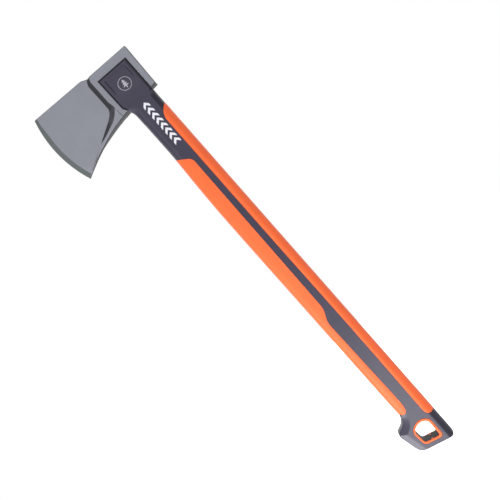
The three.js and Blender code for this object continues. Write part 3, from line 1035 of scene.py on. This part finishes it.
# ---- the stage -----------------------------------------------------------------------------
# Strengths of the surroundings as a light, from each direction
FRONT_LIGHT = 0.9
SIDE_LIGHT = 0.32
BACK_LIGHT = 1.0
TOP_LIGHT = 0.4  # added to the others
FLOOR_SIZE, FLOOR_HEIGHT = 14, -1.6  # metres


def make_floor():
    """A plain floor below the hanging axe, lit to pure white wherever the camera sees it."""
    bpy.ops.mesh.primitive_plane_add(size=FLOOR_SIZE, location=(0, 0, FLOOR_HEIGHT))
    floor = bpy.context.object
    floor.name = "floor"
    nodes = Nodes("pale_floor")
    floor.data.materials.append(nodes.surface(
        Base_Color=tinted(nodes, (0.93, 0.93, 0.93), 0.01, 3),
        Roughness=0.8,
        Emission_Color=(1.0, 1.0, 1.0),
        Emission_Strength=nodes.add("ShaderNodeLightPath").outputs["Is Camera Ray"],
    ))


def make_world():
    """White to the camera. As light: a bright front, dim sides, a bright back and a bright top."""
    world = bpy.data.worlds.new("studio")
    bpy.context.scene.world = world
    world.use_nodes = True
    tree = world.node_tree
    tree.nodes.clear()
    place = tree.nodes.new("ShaderNodeTexCoord")
    split = tree.nodes.new("ShaderNodeSeparateXYZ")
    tree.links.new(place.outputs["Generated"], split.inputs[0])

    def share(axis, low, high, to_low, to_high):
        node = tree.nodes.new("ShaderNodeMapRange")
        node.interpolation_type = "SMOOTHSTEP"
        tree.links.new(split.outputs[axis], node.inputs[0])
        for socket, value in zip(node.inputs[1:5], (low, high, to_low, to_high)):
            socket.default_value = value
        return node.outputs[0]

    def added(a, b):
        node = tree.nodes.new("ShaderNodeMath")
        node.operation = "ADD"
        tree.links.new(a, node.inputs[0])
        tree.links.new(b, node.inputs[1])
        return node.outputs[0]

    front = share("Y", -0.75, -0.35, FRONT_LIGHT - SIDE_LIGHT, 0)
    back = share("Y", 0.05, 0.55, SIDE_LIGHT, BACK_LIGHT)
    gap = share("Y", -0.99, -0.95, -0.9 * FRONT_LIGHT, 0)  # where the camera stands
    top = share("Z", 0.6, 0.95, 0, TOP_LIGHT)
    light = tree.nodes.new("ShaderNodeBackground")
    white = tree.nodes.new("ShaderNodeBackground")
    for background in (light, white):
        background.inputs["Color"].default_value = (1, 1, 1, 1)
    tree.links.new(added(added(front, back), added(gap, top)), light.inputs["Strength"])
    ray = tree.nodes.new("ShaderNodeLightPath")
    mixed = tree.nodes.new("ShaderNodeMixShader")
    tree.links.new(ray.outputs["Is Camera Ray"], mixed.inputs[0])
    tree.links.new(light.outputs[0], mixed.inputs[1])
    tree.links.new(white.outputs[0], mixed.inputs[2])
    output = tree.nodes.new("ShaderNodeOutputWorld")
    tree.links.new(mixed.outputs[0], output.inputs[0])


def softbox(name, place, target, size, power):
    """A square area light that faces a target."""
    light = bpy.data.lights.new(name, "AREA")
    light.size = size
    light.energy = power
    lamp = bpy.data.objects.new(name, light)
    lamp.location = place
    lamp.rotation_euler = (Vector(target) - Vector(place)).to_track_quat("-Z", "Y").to_euler()
    lamp.visible_camera = False
    bpy.context.scene.collection.objects.link(lamp)


def shift_lens(camera, direction, amount, roll):
    """Shifts the lens in proportion to the camera's roll, so an upright camera's is centred."""
    shift = camera.data.driver_add(direction)
    shift.modifiers[0].coefficients = (0, amount / roll)  # the line from turn to shift
    shift.driver.type = "SUM"
    turn = shift.driver.variables.new()
    turn.type = "TRANSFORMS"
    turn.targets[0].id = camera
    turn.targets[0].transform_type = "ROT_Y"
    turn.targets[0].rotation_mode = "XYZ"


def make_camera():
    """Square to the side of the axe, rolled so that its head leans to the upper left."""
    roll = math.radians(41.35)
    right = Vector((math.cos(roll), 0, -math.sin(roll)))
    up = Vector((math.sin(roll), 0, math.cos(roll)))
    frame_centre = Vector((-0.0253, 0, -0.3206))  # the point in the picture's middle
    place = Vector((0.045, -1.073, -0.3206))
    seen_width = 0.685  # how much of the axe's middle plane the picture shows
    data = bpy.data.cameras.new("camera")
    data.sensor_width = 36
    data.lens = data.sensor_width * -place.y / seen_width
    camera = bpy.data.objects.new("camera", data)
    turn = Matrix((right, up, right.cross(up))).transposed()
    camera.matrix_world = Matrix.Translation(place) @ turn.to_4x4()
    bpy.context.scene.collection.objects.link(camera)
    bpy.context.scene.camera = camera
    shift_lens(camera, "shift_x", (frame_centre - place).dot(right) / seen_width, roll)
    shift_lens(camera, "shift_y", (frame_centre - place).dot(up) / seen_width, roll)


# ---- assembly ------------------------------------------------------------------------------
steel, nylon, rubber = coated_steel(), dark_nylon(), soft_rubber()
finish_piece(make_head(), steel, "coated_steel", "axe_head")
finish_piece(make_body(), nylon, "dark_nylon", "handle_body")
for strip_name, strip_outline, node in (
    ("front_strip", front_strip_outline(0), "front_grip"),
    ("rear_strip", rear_strip_outline(0), "rear_grip"),
):
    strip = strip_shell(strip_outline, STRIP_PROUD, -STRIP_THICKNESS)
    strip.name = strip_name
    finish_piece(strip, rubber, "soft_grip", node)
finish_piece(make_ring(), rubber, "soft_grip", "hang_hole_ring")
finish_piece(make_marks(), white_print(), "dark_nylon")
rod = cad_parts["core_rod"]
rod.data.materials.clear()
rod.data.materials.append(glass_fibre())

make_floor()
make_world()
softbox("low_front", (-0.25, -1.2, -1.16), (-0.02, 0, -0.6), 0.8, 8)
softbox("low_side", (-0.66, -0.42, -0.95), (-0.02, 0, -0.66), 0.6, 7)
make_camera()
bpy.context.scene.view_settings.view_transform = "Standard"
